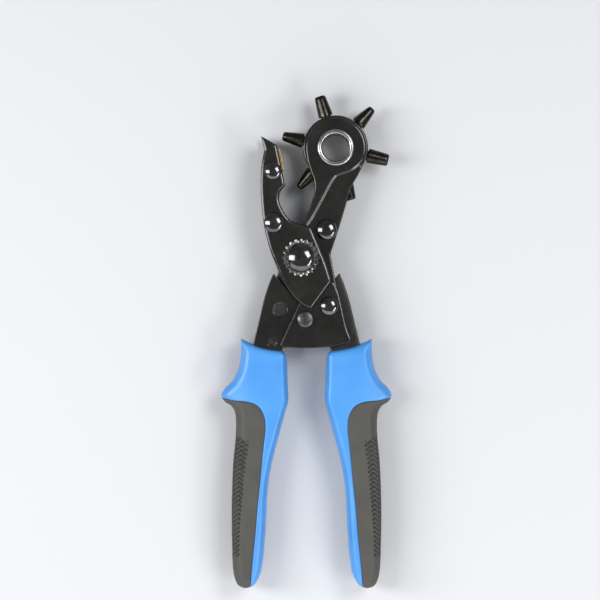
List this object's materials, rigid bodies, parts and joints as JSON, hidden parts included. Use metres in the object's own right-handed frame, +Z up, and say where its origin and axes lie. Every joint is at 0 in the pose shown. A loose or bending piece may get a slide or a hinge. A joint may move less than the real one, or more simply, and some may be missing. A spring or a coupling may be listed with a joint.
{
  "type": "rotary hole punch",
  "caption": "Compound-lever revolving punch pliers with a wheel of hollow punch tubes, riveted steel jaws and two-tone moulded grips.",
  "frame": {"origin": "middle of the footprint, on the surface that the tool lies on", "axes": "+Y from the grips to the punch wheel, +Z up out of the front face, +X to the punch-wheel side"},
  "size_m": [0.0832, 0.2414, 0.0267],
  "materials": {
    "blackened_steel": "gloss black over stamped steel plate, slightly wavy",
    "dark_rivets": "dark polished steel, domed heads",
    "tube_steel": "blackened turned steel, worn bright on the edges",
    "bright_steel": "bright nickelled steel",
    "anvil_metal": "plain sawn brass",
    "blue_plastic": "moulded azure plastic, satin",
    "black_soft_grip": "soft matte overmould with a ribbed thumb strip"
  },
  "bodies": {
    "anvil_jaw": {"anvil_jaw_core": "blackened_steel", "anvil_jaw_front_plate": "blackened_steel", "front_jaw_spacer": "blackened_steel", "front_anvil_spacer": "blackened_steel", "front_pivot_spacer": "blackened_steel", "anvil_jaw_rear_plate": "blackened_steel", "rear_jaw_spacer": "blackened_steel", "rear_anvil_spacer": "blackened_steel", "rear_pivot_spacer": "blackened_steel", "anvil_pad": "anvil_metal", "left_jaw_rivet": "dark_rivets", "anvil_rivet": "dark_rivets", "front_serrated_washer": "dark_rivets", "rear_serrated_washer": "dark_rivets", "main_rivet": "dark_rivets", "left_link_pin": "dark_rivets"},
    "wheel_jaw": {"wheel_jaw_front_plate": "blackened_steel", "wheel_jaw_rear_plate": "blackened_steel", "wheel_jaw_spacer": "blackened_steel", "right_jaw_rivet": "dark_rivets", "wheel_eyelet": "bright_steel"},
    "punch_wheel": {"punch_tube_1": "tube_steel", "punch_tube_2": "tube_steel", "punch_tube_3": "tube_steel", "punch_tube_4": "tube_steel", "punch_tube_5": "tube_steel", "punch_tube_6": "tube_steel", "wheel_hub": "blackened_steel"},
    "left_handle": {"left_handle_front_plate": "blackened_steel", "left_handle_rear_plate": "blackened_steel", "spring_seat_pin": "dark_rivets", "return_spring": "bright_steel", "left_grip_core": "blue_plastic", "left_grip_cover": "black_soft_grip"},
    "right_handle": {"right_handle_tang": "blackened_steel", "right_handle_front_cover": "blackened_steel", "right_handle_rear_cover": "blackened_steel", "right_link_rivet": "dark_rivets", "handle_pivot_rivet": "dark_rivets", "right_grip_core": "blue_plastic", "right_grip_cover": "black_soft_grip"}
  },
  "joints": [
    {"name": "jaw_pivot", "type": "hinge", "parent": "anvil_jaw", "child": "wheel_jaw", "pos_m": [-0.0027, 0.04097, 0.0124], "axis": [0, 0, -1], "range_deg": [0, 7]},
    {"name": "wheel_spin", "type": "hinge", "parent": "wheel_jaw", "child": "punch_wheel", "pos_m": [0.0142, 0.09477, 0.0124], "axis": [0, 0, 1], "continuous": true},
    {"name": "left_handle_pivot", "type": "hinge", "parent": "anvil_jaw", "child": "left_handle", "pos_m": [-0.01298, 0.01579, 0.0124], "axis": [0, 0, -1], "range_deg": [0, 16.7], "deforming": ["return_spring"]},
    {"name": "right_handle_pivot", "type": "hinge", "parent": "wheel_jaw", "child": "right_handle", "pos_m": [0.011, 0.01747, 0.0124], "axis": [0, 0, 1], "range_deg": [0, 16.7]}
  ],
  "couplings": [
    {"joint": "left_handle_pivot", "follows": "jaw_pivot", "ratio": 2.362},
    {"joint": "right_handle_pivot", "follows": "jaw_pivot", "ratio": 2.362}
  ]
}
